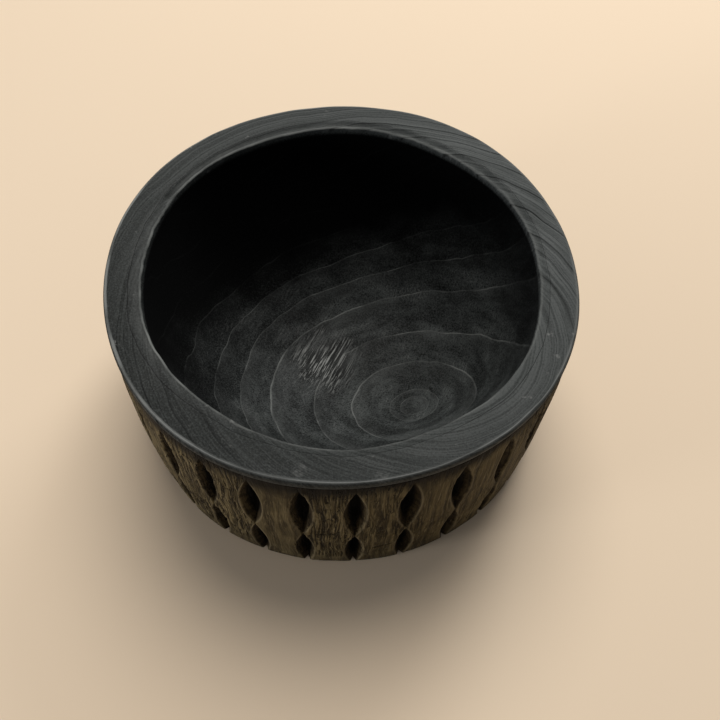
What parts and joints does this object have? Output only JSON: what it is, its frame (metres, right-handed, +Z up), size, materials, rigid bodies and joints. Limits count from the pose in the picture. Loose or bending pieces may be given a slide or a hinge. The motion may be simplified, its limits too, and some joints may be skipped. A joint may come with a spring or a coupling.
{
  "type": "carved wooden bowl",
  "caption": "Round hand-carved wooden bowl with a deep blackened hollow, a broad flat rim and a brown outer wall cut all round with chains of pointed gouges; it holds fruit or small items.",
  "frame": {"origin": "centre of the flat underside, on the surface that the bowl stands on", "axes": "+Z up along the bowl's axis of turning; -Y towards the viewer, with the pith of the log to the front right of the hollow's centre"},
  "size_m": [0.2534, 0.2534, 0.115],
  "materials": {
    "blackened_wood": "charred and waxed to a satin black, with the grain and growth rings showing faintly",
    "brown_wood": "matt olive-brown carved wood, rubbed lighter on the edges and blackened in the gouges"
  },
  "bodies": {
    "root": {"blackened_body": "blackened_wood", "carved_outer_wall": "brown_wood"}
  },
  "joints": []
}
